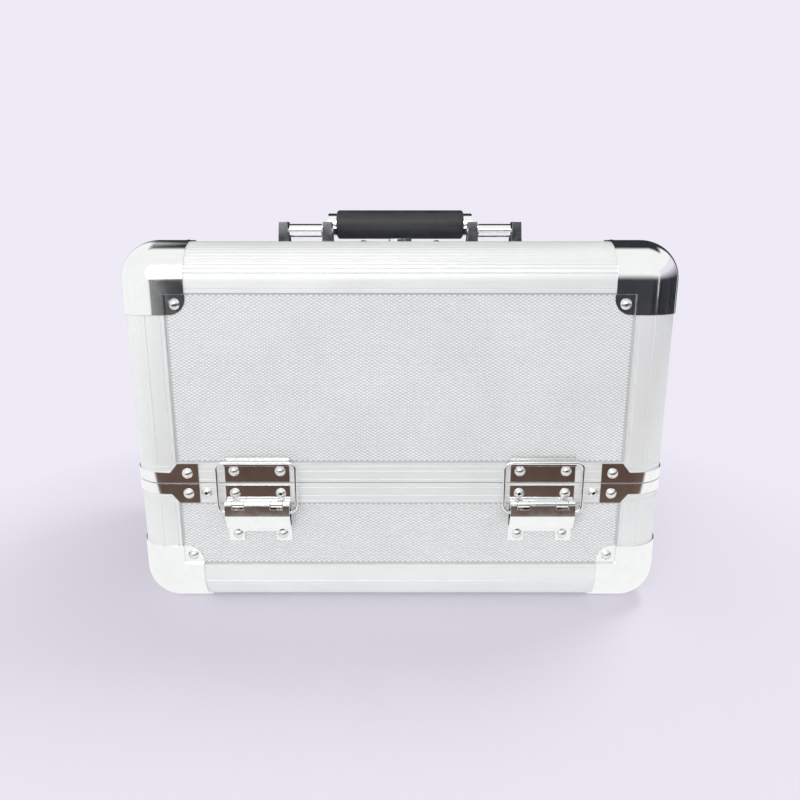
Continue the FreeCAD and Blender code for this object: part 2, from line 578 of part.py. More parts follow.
latches, lever_pins = {}, []
ON_SHEET = f"{FACE} - latch_wall"
ON_EAR = f"{FACE} + edge_wall - latch_wall"
UNDER_RIDGE = f"{RIDGE_Z} - rivet_gap - rivet_radius"
RIM_RIVET_Z = f"{SEAM} - plate_rivet_down"
for side, name in ((-1, "latch_left"), (1, "latch_right")):
    middle = sign(side, f"{HALF_W} - latch_inset")
    latches[name] = [make(name, middle) for make in (latch_catch, latch_plate, latch_lever, latch_bail)]
    lever_pins.append(rod(f"{name}_pin", (f"{middle} - latch_width / 2", PIVOT_Y, PIVOT_Z), "+X",
                          "lever_pin_radius", "latch_width"))
    for step in (-1, 1):
        x = f"{middle} + {step} * latch_rivet_side"
        tag = f"{name}_rivet_{'a' if step < 0 else 'b'}"
        rivets["lid"].append(rivet(f"{tag}_catch", (x, ON_SHEET, UNDER_RIDGE), "-Y"))
        rivets["base"] += [
            rivet(f"{tag}_plate", (x, ON_SHEET, RIM_RIVET_Z), "-Y", hollow=step * side < 0),
            rivet(f"{tag}_ear", (x, ON_EAR, f"{SEAM} - plate_ear_rivet_down"), "-Y")]
    rim_x = sign(side, f"{HALF_W} - rim_rivet_inset")
    rivets["base"].append(rivet(f"{name}_rim_rivet", (rim_x, FACE, RIM_RIVET_Z), "-Y", hollow=True))
lever_pins = group("latch_lever_pins", *lever_pins)

# Carry handle: a plate with four ears, two cranked arms on pins, and a round grip between them.
PLATE_Z = f"({TOP} - edge_wall)"
EAR_Z = f"({PLATE_Z} + handle_plate_wall)"
HANDLE_Z = f"({TOP} + handle_pivot_up)"
GRIP_Z = f"({TOP} + grip_up)"
EAR_HALF = "(ear_foot / 2)"
BARREL_OUT = f"(outer_ear - {EAR_HALF} - ear_gap)"
BARREL_IN = f"(inner_ear + {EAR_HALF} + ear_gap)"


def handle_plate():
    pieces = [block("handle_sheet", ("-handle_plate_length / 2", "-handle_plate_depth / 2", PLATE_Z),
                    ("handle_plate_length", "handle_plate_depth", "handle_plate_wall"))]
    bores = []
    for side in (-1, 1):
        for place_name, offset in (("inner", "inner_ear"), ("outer", "outer_ear")):
            tag = f"handle_{'left' if side < 0 else 'right'}_{place_name}_ear"
            tall = f"{TOP} + ear_tall - {EAR_Z}"
            outline = [(f"-{EAR_HALF}", "0"), (EAR_HALF, "0"), ("ear_head / 2", tall),
                       ("-ear_head / 2", tall)]
            pieces.append(prism(tag, "XZ", outline, "ear_depth",
                                (sign(side, offset), "ear_depth / 2", EAR_Z)))
            bores.append(rod(f"{tag}_bore", (f"{sign(side, offset)} - ear_foot", "0", HANDLE_Z), "+X",
                             "handle_pin_radius + running_gap", "2 * ear_foot"))
    return cut("handle_plate", fuse("handle_plate_blank", *pieces), *bores)


def handle_arm():
    """The left arm: its barrel turns between two ears, and its round end carries the grip."""
    out, inner, end = f"-{BARREL_OUT}", f"-{BARREL_IN}", "-(grip_half + grip_end_wall)"
    barrel = rod("arm_barrel", (out, "0", HANDLE_Z), "+X", "barrel_radius", f"{BARREL_OUT} - {BARREL_IN}")
    web = prism("arm_web", "XY",
                [(out, "0"), (inner, "0"), (inner, "ear_depth / 2 + barrel_radius"),
                 ("-grip_half", "arm_reach - grip_end_radius"),
                 ("-grip_half", "arm_reach + grip_end_radius / 2"),
                 (end, "arm_reach + grip_end_radius / 2"), (out, "arm_reach / 2")],
                "arm_wall", ("0", "0", f"{HANDLE_Z} - arm_wall / 2"))
    disc = rod("arm_disc", (end, "arm_reach", GRIP_Z), "+X", "grip_end_radius", "grip_end_wall")
    bore = rod("arm_bore", (f"{out} - {OVER}", "0", HANDLE_Z), "+X", "handle_pin_radius + running_gap",
               f"{BARREL_OUT} - {BARREL_IN} + 2 * {OVER}")
    return cut("handle_arm_left", fuse("arm_blank", barrel, web, disc), bore)


plate = handle_plate()
arm_left = handle_arm()
arm_right = mirror("handle_arm_right", arm_left, "x")
grip = rod("handle_grip", ("-grip_half", "arm_reach", GRIP_Z), "+X", "grip_radius", "2 * grip_half")
PIN_RUN = "outer_ear - inner_ear + ear_foot"
left_pin = rod("handle_pin_left", (f"-outer_ear - {EAR_HALF}", "0", HANDLE_Z), "+X",
               "handle_pin_radius", PIN_RUN)
handle_pins = group("handle_pins", left_pin, mirror("handle_pin_right", left_pin, "x"))
boss = fuse("top_boss",
            rod("boss_foot", ("0", "-boss_front", PLATE_Z), "+Z", "boss_flange", "boss_flange_tall"),
            rod("boss_head", ("0", "-boss_front", PLATE_Z), "+Z", "boss_radius", "boss_tall"))
for side in (-1, 1):
    for row in (-1, 1):
        tag = f"handle_rivet_{'left' if side < 0 else 'right'}_{'front' if row < 0 else 'back'}"
        y = sign(row, "handle_plate_depth / 2 - rivet_radius - rivet_edge")
        rivets["lid"].append(rivet(tag, (sign(side, "inner_ear / 2"), y, EAR_Z), "+Z"))

# Trays: each hangs on two pins of the lid and on two links of the base, a parallelogram with the hinge.
INSIDE_X = f"({HALF_W} - {SKIN})"
TRAY_X = f"({INSIDE_X} - tray_side_gap)"
LINK_IN = f"({TRAY_X} + link_gap)"
LINK_OUT = f"({LINK_IN} + link_wall)"


def tray(name, back, low, pivot_back, pivot_up, reach):
    front_y = f"(tray_front_gap - {HALF_D})"
    long = f"({HINGE_Y} - {back} - {front_y})"
    body = block(f"{name}_body", (f"-{TRAY_X}", front_y, low), (f"2 * {TRAY_X}", long, "tray_tall"))
    count = TRAY_POCKETS
    pocket = f"((2 * {TRAY_X} - 2 * tray_wall - {count - 1} * tray_divider) / {count})"
    tools = [block(f"{name}_pocket_{number}",
                   (f"-{TRAY_X} + tray_wall + {number} * ({pocket} + tray_divider)",
                    f"{front_y} + tray_wall", f"{low} + tray_floor"),
                   (pocket, f"{long} - 2 * tray_wall", "tray_tall")) for number in range(count)]
    pivot = (f"{HINGE_Y} - {pivot_back}", f"{SEAM} + {pivot_up}")
    joint = (f"{pivot[0]} - {reach}", f"{pivot[1]} - link_drop")
    studs = []
    for side, facing in ((-1, "-X"), (1, "+X")):
        tag = f"{name}_{'left' if side < 0 else 'right'}"
        on_side = sign(side, TRAY_X)
        tools.append(rod(f"{tag}_bore", (sign(side, f"{TRAY_X} - 2 * tray_wall"), *pivot), facing,
                         "tray_pin_radius + running_gap", "3 * tray_wall"))
        studs += [rod(f"{tag}_stud", (on_side, *joint), facing, "link_pin_radius",
                      f"{LINK_OUT} + collar_gap - {TRAY_X}"),
                  rod(f"{tag}_stud_head", (sign(side, f"{LINK_OUT} + collar_gap"), *joint), facing,
                      "link_head_radius", "link_head_wall")]
    return fuse(name, cut(f"{name}_shell", body, *tools), *studs)


def links(name, pivot_back, pivot_up, reach):
    """Two flat links from the base to one tray, one at each side."""
    foot = (f"{HINGE_Y} - {reach}", f"{SEAM} - link_drop")
    head = (f"{foot[0]} - {pivot_back}", f"{foot[1]} + {pivot_up}")
    span = f"sqrt({pivot_back} ^ 2 + {pivot_up} ^ 2)"
    off_y, off_z = f"link_wide / 2 * {pivot_up} / {span}", f"link_wide / 2 * {pivot_back} / {span}"
    outline = [(f"{y} + {way} * {off_y}", f"{z} + {way} * {off_z}")
               for (y, z), way in ((foot, 1), (head, 1), (head, -1), (foot, -1))]
    pieces = [prism(f"{name}_strip", "YZ", outline, "link_wall", (LINK_IN, "0", "0"))]
    pieces += [rod(f"{name}_{tag}", (LINK_IN, *at), "+X", "link_wide / 2", "link_wall")
               for tag, at in (("foot", foot), ("head", head))]
    bores = [rod(f"{name}_{tag}_bore", (f"{LINK_IN} - {OVER}", *at), "+X", f"link_pin_radius + {gap}",
                 f"link_wall + 2 * {OVER}")
             for tag, at, gap in (("foot", foot, "running_gap"), ("head", head, "open_pivot_gap"))]
    right = cut(f"{name}_right", fuse(f"{name}_blank", *pieces), *bores)
    pins = [rod(f"{name}_pin_collar", (f"{LINK_OUT} + collar_gap", *foot), "+X", "collar_radius",
                f"{INSIDE_X} - {LINK_OUT} - collar_gap"),
            rod(f"{name}_pin_stem", (f"{LINK_IN} - collar_gap", *foot), "+X", "link_pin_radius",
                "link_wall + 2 * collar_gap"),
            rod(f"{name}_pin_head", (f"{LINK_IN} - collar_gap - link_head_wall", *foot), "+X",
                "link_head_radius", "link_head_wall")]
    pin = fuse(f"{name}_pin", *pins)
    pair = group(name, right, mirror(f"{name}_left", right, "x"))
    return pair, [pin, mirror(f"{name}_pin_left", pin, "x")]


def tray_pins(name, pivot_back, pivot_up):
    at = (f"{HINGE_Y} - {pivot_back}", f"{SEAM} + {pivot_up}")
    pin = fuse(f"{name}_right",
               rod(f"{name}_collar", (f"{TRAY_X} + collar_gap", *at), "+X", "collar_radius",
                   f"{INSIDE_X} - {TRAY_X} - collar_gap"),
               rod(f"{name}_stem", (f"{TRAY_X} - tray_wall - pin_end", *at), "+X", "tray_pin_radius",
                   "tray_wall + pin_end + collar_gap"))
    return [pin, mirror(f"{name}_left", pin, "x")]


LOWER = ("lower_pivot_back", "lower_pivot_up")
UPPER = ("upper_pivot_back", "upper_pivot_up")
LOW_Z = f"({SEAM} + tray_lift)"
lower_tray = tray("lower_tray", "lower_tray_back", LOW_Z, *LOWER, "lower_link_reach")
upper_tray = tray("upper_tray", "upper_tray_back", f"({LOW_Z} + tray_pitch)", *UPPER, "upper_link_reach")
lower_links, lower_feet = links("lower_tray_links", *LOWER, "lower_link_reach")
upper_links, upper_feet = links("upper_tray_links", *UPPER, "upper_link_reach")
link_pins = group("base_link_pins", *lower_feet, *upper_feet)
lid_tray_pins = group("lid_tray_pins", *tray_pins("lower_tray_pin", *LOWER),
                      *tray_pins("upper_tray_pin", *UPPER))

# Foam mat on the floor of the base.
floor_pad = block("base_floor_mat",
                  (f"{PANEL_EDGE} + pad_gap - {HALF_W}", f"{PANEL_EDGE} + pad_gap - {HALF_D}",
                   f"cap_wall + {SKIN}"),
                  (f"{WALL_X} - 2 * pad_gap", f"{WALL_Y} - 2 * pad_gap", "pad_wall"))

parts = [*base_edges.values(), *lid_edges.values(), base_posts, lid_posts,
         *base_panels.values(), base_floor, *lid_panels.values(), lid_top, base_rim, lid_rim,
         *base_caps.values(), *lid_caps.values(), base_clips, lid_clips,
         lid_leaves, base_leaves, hinge_pins, lever_pins, plate, arm_left, arm_right, grip, handle_pins, boss,
         lower_tray, upper_tray, lower_links, upper_links, link_pins, lid_tray_pins, floor_pad,
         group("base_rivets", *rivets["base"]), group("lid_rivets", *rivets["lid"])]
for pieces in latches.values():
    parts += pieces

doc.recompute()
for item in doc.Objects:
    if {"Invalid", "Error"} & set(item.State):
        raise RuntimeError(f"{item.Label} failed: {item.State}")
for part in parts:
    if part.Shape.isNull() or not part.Shape.isValid() or not part.Shape.Solids:
        raise RuntimeError(f"{part.Label} has no valid solid")

os.makedirs("parts", exist_ok=True)
for part in parts:
    part.Shape.exportStep(f"parts/{part.Label}.step")
print(len(parts), "parts written")
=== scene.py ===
import json
import math

import bmesh
import bpy
from mathutils import Matrix, Vector


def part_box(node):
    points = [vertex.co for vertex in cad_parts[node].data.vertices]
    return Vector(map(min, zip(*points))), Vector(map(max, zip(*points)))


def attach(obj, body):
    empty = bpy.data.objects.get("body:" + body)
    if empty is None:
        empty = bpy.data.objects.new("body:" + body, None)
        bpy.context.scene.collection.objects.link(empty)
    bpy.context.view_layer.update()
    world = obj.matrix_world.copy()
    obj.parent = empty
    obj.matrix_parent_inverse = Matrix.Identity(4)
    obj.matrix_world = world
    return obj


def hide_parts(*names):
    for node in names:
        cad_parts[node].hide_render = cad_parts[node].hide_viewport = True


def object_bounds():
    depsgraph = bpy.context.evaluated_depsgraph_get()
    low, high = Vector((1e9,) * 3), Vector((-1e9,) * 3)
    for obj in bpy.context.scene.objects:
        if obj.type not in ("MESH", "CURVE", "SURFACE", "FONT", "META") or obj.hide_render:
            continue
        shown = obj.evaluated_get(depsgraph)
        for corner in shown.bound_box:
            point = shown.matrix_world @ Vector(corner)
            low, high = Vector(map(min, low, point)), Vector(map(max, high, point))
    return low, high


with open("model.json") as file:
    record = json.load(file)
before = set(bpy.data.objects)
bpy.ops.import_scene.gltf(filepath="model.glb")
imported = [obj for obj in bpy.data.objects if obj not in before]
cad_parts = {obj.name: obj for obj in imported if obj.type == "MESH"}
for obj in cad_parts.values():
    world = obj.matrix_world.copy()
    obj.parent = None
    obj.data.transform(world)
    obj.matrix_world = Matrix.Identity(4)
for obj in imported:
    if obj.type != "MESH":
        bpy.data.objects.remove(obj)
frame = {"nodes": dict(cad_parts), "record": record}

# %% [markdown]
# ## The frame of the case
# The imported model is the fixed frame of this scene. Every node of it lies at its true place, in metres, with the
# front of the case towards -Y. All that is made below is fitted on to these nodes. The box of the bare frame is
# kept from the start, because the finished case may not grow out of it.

MM = 0.001
X, Y, Z = Vector((1, 0, 0)), Vector((0, 1, 0)), Vector((0, 0, 1))
cad_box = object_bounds()
nodes = frame["nodes"]
node_slot = {part["node"]: part["material_slot"] for part in frame["record"]["subparts"]}
HALF_W, HALF_D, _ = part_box("base_rim")[1]
print("frame", [round(size / MM, 1) for size in cad_box[1] - cad_box[0]], "mm,", len(nodes), "nodes")

# %% [markdown]
# ## Camera
# A pinhole camera was fitted to the edges of the panels and to the seam. It stands close to the case and a little
# below the top of the lid, which is why the base looks smaller than the lid.

# %% Camera
CAMERA_AT = Vector((0, -518.8, 245.8)) * MM
CAMERA_DOWN = 13.1
FOCAL_PIXELS, IMAGE_PIXELS, SENSOR = 640, 800, 36


def in_scene(item):
    """Puts an object into the scene and gives it back."""
    bpy.context.scene.collection.objects.link(item)
    return item


camera_data = bpy.data.cameras.new("camera")
camera_data.sensor_width = SENSOR
camera_data.lens = SENSOR * FOCAL_PIXELS / IMAGE_PIXELS
camera = in_scene(bpy.data.objects.new("camera", camera_data))
camera.location = CAMERA_AT
camera.rotation_euler = (math.radians(90 - CAMERA_DOWN), 0, 0)
bpy.context.scene.camera = camera
print("camera lens", round(camera_data.lens, 2), "mm")

# %% [markdown]
# ## Finishes
# Every finish is a node material that reads Object coordinates, so its grain keeps its size on each piece and moves
# with it. Noise lets colour and roughness wander a little, as on any real surface. A fine bump gives satin metal,
# orange peel on chrome or the grain of plastic, and a softened normal lets sharp edges catch the light.

# %% Helpers for node trees
def add(tree, kind, **inputs):
    """A new node: an input that is a socket gets linked, any other value is written on the node's own socket."""
    node = tree.nodes.new(kind)
    for name, value in inputs.items():
        fill(tree, node.inputs[name.replace("_", " ")], value)
    return node


def fill(tree, socket, value):
    """Links a socket to another one, or writes a plain value on it."""
    if isinstance(value, bpy.types.NodeSocket):
        tree.links.new(value, socket)
    else:
        socket.default_value = value


def math_node(tree, operation, first, second):
    """The outcome of one sum."""
    node = tree.nodes.new("ShaderNodeMath")
    node.operation = operation
    fill(tree, node.inputs[0], first)
    fill(tree, node.inputs[1], second)
    return node.outputs[0]


def mottle(tree, spot_mm, detail=3.0):
    """Soft noise whose spots are about spot_mm across."""
    place = tree.nodes.new("ShaderNodeTexCoord").outputs["Object"]
    noise = add(tree, "ShaderNodeTexNoise", Vector=place, Scale=1 / (spot_mm * MM), Detail=detail)
    return noise.outputs["Fac"]


def between(tree, noise, low, high):
    """Noise spread over the range from low to high."""
    spread = add(tree, "ShaderNodeMapRange", Value=noise, From_Min=0.3, From_Max=0.7, To_Min=low, To_Max=high)
    return spread.outputs["Result"]


def wandering_colour(tree, noise, dark, light):
    """A colour that goes with the noise from dark to light."""
    mix = tree.nodes.new("ShaderNodeMix")
    mix.data_type = "RGBA"
    fill(tree, mix.inputs["Factor"], between(tree, noise, 0.0, 1.0))
    first, second = (socket for socket in mix.inputs if socket.type == "RGBA")
    first.default_value, second.default_value = (*dark, 1), (*light, 1)
    return next(socket for socket in mix.outputs if socket.type == "RGBA")


def mixed_shader(tree, factor, first, second):
    """Two shaders, chosen or blended by a factor."""
    mix = tree.nodes.new("ShaderNodeMixShader")
    for socket, value in zip(mix.inputs, (factor, first.outputs[0], second.outputs[0])):
        fill(tree, socket, value)
    return mix


def node_material(name):
    """A material with an empty node tree."""
    material = bpy.data.materials.new(name)
    material.use_nodes = True
    material.node_tree.nodes.clear()
    return material, material.node_tree


def surface(tree, shader):
    """Makes a shader the surface of its material."""
    add(tree, "ShaderNodeOutputMaterial", Surface=shader.outputs[0])


# %% One recipe for all finishes
def finish(name, dark, light, rough, metal=0.0, spot_mm=12.0, grain=None, edge_mm=0.0, sheen=0.0):
    """A surface with wandering colour and roughness; grain is (size, depth) of its bump in mm."""
    material, tree = node_material(name)
    noise = mottle(tree, spot_mm)
    shader = add(tree, "ShaderNodeBsdfPrincipled", Base_Color=wandering_colour(tree, noise, dark, light),
                 Roughness=between(tree, noise, *rough), Metallic=metal, Sheen_Weight=sheen)
    if edge_mm:
        soft = add(tree, "ShaderNodeBevel", Radius=edge_mm * MM)
        fill(tree, shader.inputs["Normal"], soft.outputs["Normal"])
    if grain:
        size, depth = grain
        bump = add(tree, "ShaderNodeBump", Height=mottle(tree, size, 2.0), Distance=depth * MM)
        if edge_mm:
            fill(tree, bump.inputs["Normal"], soft.outputs["Normal"])
        fill(tree, shader.inputs["Normal"], bump.outputs["Normal"])
    surface(tree, shader)
    return material


aluminium = finish("satin_aluminium", (0.84, 0.86, 0.84), (0.87, 0.89, 0.87), (0.38, 0.44), metal=0.28, spot_mm=30,
                   grain=(0.35, 0.004), edge_mm=0.25)
embossed = finish("embossed_panel", (0.86, 0.88, 0.87), (0.88, 0.90, 0.89), (0.40, 0.46), metal=0.15, spot_mm=40)
# the board shows between the diamonds and is painted much darker than they are: painted shade in the hollows between
# them
ground_painted_shade = finish("panel_ground_painted_shade", (0.58, 0.59, 0.59), (0.61, 0.62, 0.62), (0.42, 0.50), metal=0.2, spot_mm=40)
chrome = finish("bright_chrome", (0.89, 0.89, 0.90), (0.92, 0.92, 0.93), (0.07, 0.12), metal=1.0, spot_mm=6,
                grain=(1.0, 0.006), edge_mm=0.35)
rivet_chrome = finish("rivet_chrome", (0.74, 0.74, 0.73), (0.84, 0.84, 0.83), (0.20, 0.30), metal=1.0, spot_mm=2,
                      grain=(0.6, 0.004))
# near black: painted shade at the bottom of the blind rivet's hole
hole_shade = finish("rivet_hole_shade", (0.012, 0.012, 0.013), (0.03, 0.03, 0.032), (0.6, 0.8), metal=0.4, spot_mm=1)
steel = finish("turned_steel", (0.50, 0.50, 0.52), (0.62, 0.62, 0.64), (0.24, 0.36), metal=1.0, spot_mm=3)
strip = finish("link_strip", (0.58, 0.58, 0.60), (0.68, 0.68, 0.70), (0.30, 0.42), metal=1.0, spot_mm=8,
               edge_mm=0.3)
grip_black = finish("grip_black", (0.018, 0.019, 0.021), (0.034, 0.035, 0.038), (0.42, 0.56), spot_mm=9,
                    grain=(0.5, 0.05))
tray_black = finish("tray_plastic", (0.022, 0.022, 0.024), (0.036, 0.036, 0.039), (0.44, 0.60), spot_mm=14,
                    grain=(0.45, 0.05), edge_mm=0.8)
lining_black = finish("lining_cloth", (0.020, 0.020, 0.022), (0.034, 0.034, 0.037), (0.78, 0.92), spot_mm=5,
                      grain=(0.6, 0.12))
foam = finish("floor_foam", (0.018, 0.018, 0.020), (0.032, 0.032, 0.035), (0.82, 0.95), spot_mm=4,
              grain=(0.9, 0.25), sheen=0.25)
print(len(bpy.data.materials), "finishes")

# %% The bare nodes get their finishes
SLOT_FINISH = {
    "extrusions": aluminium, "panels": ground_painted_shade, "corner_caps": chrome, "rim_clips": chrome, "hinge_leaves": chrome,
    "latches": chrome, "handle_metal": chrome, "boss": chrome, "rivets": rivet_chrome, "pins": steel, "links": strip,
    "grip": grip_black, "trays": tray_black, "mat": foam}
for node, item in nodes.items():
    coat = SLOT_FINISH[node_slot[node]]
    for place in item.material_slots:
        place.material = coat
    if not item.material_slots:
        item.data.materials.append(coat)
print(len(nodes), "nodes dressed from", len(SLOT_FINISH), "slots")

# %% [markdown]
# ## Making pieces
# A piece is one mesh at the origin, with its place in its points. What is round in it is shaded smooth and what is
# folded stays sharp. It is then hung on a body, so that it moves with it, and the bare nodes it stands for are
# hidden.

# %% Helpers for pieces
SHARP_ANGLE = math.radians(28)


def solid(name, form):
    """An object made from a bmesh, with all faces looking outwards."""
    bmesh.ops.recalc_face_normals(form, faces=form.faces)
    mesh = bpy.data.meshes.new(name)
    form.to_mesh(mesh)
    form.free()
    return in_scene(bpy.data.objects.new(name, mesh))


def dress(item, coat, body, slot, *stands_for):
    """Finishes a piece: its coat, its shading, the body it rides on and the nodes it stands for."""
    mesh = item.data
    mesh.materials.clear()
    mesh.materials.append(coat)
    mesh.polygons.foreach_set("use_smooth", [True] * len(mesh.polygons))
    mesh.set_sharp_from_angle(angle=SHARP_ANGLE)
    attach(item, body)
    if stands_for:
        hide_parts(*stands_for)
    return item


def stitched(form, rings, closed):
    """Faces between rings of points that follow one another; closed joins the last ring to the first."""
    for this, ring in enumerate(rings if closed else rings[:-1]):
        after = rings[(this + 1) % len(rings)]
        for step in range(len(ring)):
            follow = (step + 1) % len(ring)
            form.faces.new((ring[step], after[step], after[follow], ring[follow]))


# %% [markdown]
# ## Extruded edges
# The edges of such a case are aluminium angles that are pushed through a die, so they have one outline all along: a
# round back with fine lines in it, a deeper groove where the round part ends, and a bead that holds the panel down.
# A list of grooves along the outline gives that, and a straight run of the outline gives each edge and corner post.

# %% The outline of an edge
LEG, ROUND, WALL = 32 * MM, 25 * MM, 1.6 * MM
FLAT, ARC = LEG - ROUND, ROUND * math.pi / 2
ROUND_STEP, INNER_STEPS = 1.2 * MM, 8
# place along the outline from the panel, depth and width of each groove in mm; both legs have the same ones
GROOVES = [(2.4, 0.55, 1.0), (12.4, 0.50, 0.9), (15.4, 0.22, 0.8), (17.8, 0.22, 0.8), (20.2, 0.22, 0.8),
           (22.6, 0.22, 0.8), (25.0, 0.22, 0.8)]


def edge_point(along, depth):
    """A point of the outline in the corner's own plane, sunk by depth under the skin."""
    if along < FLAT:
        return Vector((LEG - along, depth))
    if along > FLAT + ARC:
        return Vector((depth, ROUND + along - FLAT - ARC))
    turn = (along - FLAT) / ROUND
    reach = ROUND - depth
    return Vector((ROUND - reach * math.sin(turn), ROUND - reach * math.cos(turn)))


def edge_outline():
    """The closed outline: the grooved skin, and the plain inner face back to its start."""
    total = 2 * FLAT + ARC
    skin = {0.0: 0.0, FLAT: 0.0, FLAT + ARC: 0.0, total: 0.0}
    for step in range(1, round(ARC / ROUND_STEP)):
        skin[FLAT + step * ROUND_STEP] = 0.0
    for at, depth, wide in GROOVES:
        half = wide * MM / 2
        for centre in (at * MM, total - at * MM):
            skin = {along: sunk for along, sunk in skin.items() if abs(along - centre) > half}
            skin.update({centre - half: 0.0, centre: depth * MM, centre + half: 0.0})
    outer = [edge_point(along, sunk) for along, sunk in sorted(skin.items())]
    bend = [FLAT + ARC * step / INNER_STEPS for step in range(INNER_STEPS + 1)]
    inner = [edge_point(along, WALL) for along in [0.0, *bend, total]]
    return outer + inner[::-1]


OUTLINE = edge_outline()
print("outline of", len(OUTLINE), "points")


# %% Edges and posts
def run(form, corner, first, second, start, end):
    """One straight length: its corner line goes from start to end, and its legs lie along first and second."""
    rings = [[form.verts.new(corner + first * point.x + second * point.y + along) for point in OUTLINE]
             for along in (start, end)]
    stitched(form, rings, closed=False)
    for ring in rings:
        form.faces.new(ring)


for half, up in (("base", 1), ("lid", -1)):
    low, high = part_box(f"{half}_edge_front")
    level = low.z if up > 0 else high.z
    for side, inward in (("front", Y), ("back", -Y), ("left", X), ("right", -X)):
        low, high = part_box(f"{half}_edge_{side}")
        along = X if inward.y else Y
        corner = Z * level - inward * (HALF_D if inward.y else HALF_W)
        form = bmesh.new()
        run(form, corner, inward, Z * up, along * low.dot(along), along * high.dot(along))
        dress(solid(f"{half}_{side}_edge_profile", form), aluminium, half, "extrusions", f"{half}_edge_{side}")
    low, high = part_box(f"{half}_corner_posts")
    form = bmesh.new()
    for x in (-1, 1):
        for y in (-1, 1):
            run(form, Vector((x * HALF_W, y * HALF_D, 0)), -X * x, -Y * y, Z * low.z, Z * high.z)
    dress(solid(f"{half}_post_profiles", form), aluminium, half, "extrusions", f"{half}_corner_posts")
print("8 edges and 8 posts of", len(OUTLINE), "faces round")

# %% [markdown]
# ## Rims
# At the seam each half ends in one bent extrusion. The lower one carries a tongue, and the upper one has the groove
# that takes it. The section is drawn once, as inset and height, and swept round the rounded plan of the case.

# %% Sections of the rims, swept round the case
CORNER_STEPS = 14
SKIN, TONGUE, TONGUE_TALL, TONGUE_GAP, RIM_LIP, SEAM_SOFT = 6.1, 2.0, 5.0, 0.4, 6.0, 0.5
THIN = WALL / MM
# height from the seam, depth and width of each line in mm
RIM_LINES = [(2.6, 0.35, 0.7), (8.4, 0.45, 0.9), (11.9, 0.40, 0.7)]


def sweep(form, section, start=0.0):
    """A closed section of (inset, height) in mm, carried round the case; heights count from start."""
    rings = []
    for x, y, quarter in ((1, 1, 0), (-1, 1, 1), (-1, -1, 2), (1, -1, 3)):
        pivot = Vector((x * (HALF_W - ROUND), y * (HALF_D - ROUND), start))
        for step in range(CORNER_STEPS + 1):
            turn = math.pi / 2 * (quarter + step / CORNER_STEPS)
            way = Vector((math.cos(turn), math.sin(turn), 0))
            rings.append([form.verts.new(pivot + way * (ROUND - inset * MM) + Z * height * MM)
                          for inset, height in section])
    stitched(form, rings, closed=True)


def lined_face(tall, up):
    """The outer face of a rim from its panel to the seam, with its lines."""
    stops = [(0.0, 0.0), (tall - SEAM_SOFT, 0.0), (tall, SEAM_SOFT)]
    for at, depth, wide in RIM_LINES:
        stops += [(tall - at - wide / 2, 0.0), (tall - at, depth), (tall - at + wide / 2, 0.0)]
    return [(inset, up * height) for height, inset in sorted(stops)]


low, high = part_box("lid_rim")
RIM_TALL = (high.z - low.z) / MM
tongue_out, tongue_top = SKIN - TONGUE, RIM_TALL + TONGUE_TALL
groove_out, groove_end = tongue_out - TONGUE_GAP, TONGUE_TALL + TONGUE_GAP - RIM_TALL
base_section = lined_face(RIM_TALL, 1) + [
    (tongue_out, RIM_TALL), (tongue_out, tongue_top), (SKIN, tongue_top), (SKIN, RIM_LIP), (THIN, RIM_LIP),
    (THIN, 0.0)]
lid_section = lined_face(RIM_TALL, -1) + [
    (groove_out, -RIM_TALL), (groove_out, groove_end), (SKIN, groove_end), (SKIN, -RIM_LIP), (THIN, -RIM_LIP),
    (THIN, 0.0)]
for half, section, start in (("base", base_section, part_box("base_rim")[0].z), ("lid", lid_section, high.z)):
    form = bmesh.new()
    sweep(form, section, start)
    dress(solid(f"{half}_rim_profile", form), aluminium, half, "extrusions", f"{half}_rim")
print("rims", round(RIM_TALL, 1), "mm tall")

# %% [markdown]
# ## Embossed panels
# The boards are faced with a sheet that is rolled with small staggered diamonds. A relief that is really there
# catches the light from every side, which a picture can't do. A node tree lays two grids of points, the second moved
# by half a step, sets one low four-sided frustum on each point and makes them real.
# Between the diamonds the board shows, painted darker than the diamonds as painted shade in the hollows.

# %% The node tree that embosses a face
PITCH_X, PITCH_Y, RISE, SUNK = 3.65 * MM, 1.05 * MM, 0.5 * MM, 0.05 * MM
DIAMOND_TOP, DIAMOND_FILL, DIAMOND_FACES = 0.30, 0.84, 6


def node_group(name, inputs):
    """A geometry node tree with named inputs; gives the tree and the sockets of its inputs."""
    tree = bpy.data.node_groups.new(name, "GeometryNodeTree")
    for label, kind in inputs:
        tree.interface.new_socket(label, in_out="INPUT", socket_type=f"NodeSocket{kind}")
    tree.interface.new_socket("Geometry", in_out="OUTPUT", socket_type="NodeSocketGeometry")
    return tree, tree.nodes.new("NodeGroupInput").outputs


def close_group(tree, instances, coat):
    """The end of a tree: instances made real and painted."""
    real = add(tree, "GeometryNodeRealizeInstances", Geometry=instances)
    painted = add(tree, "GeometryNodeSetMaterial", Geometry=real.outputs["Geometry"], Material=coat)
    add(tree, "NodeGroupOutput", Geometry=painted.outputs["Geometry"])


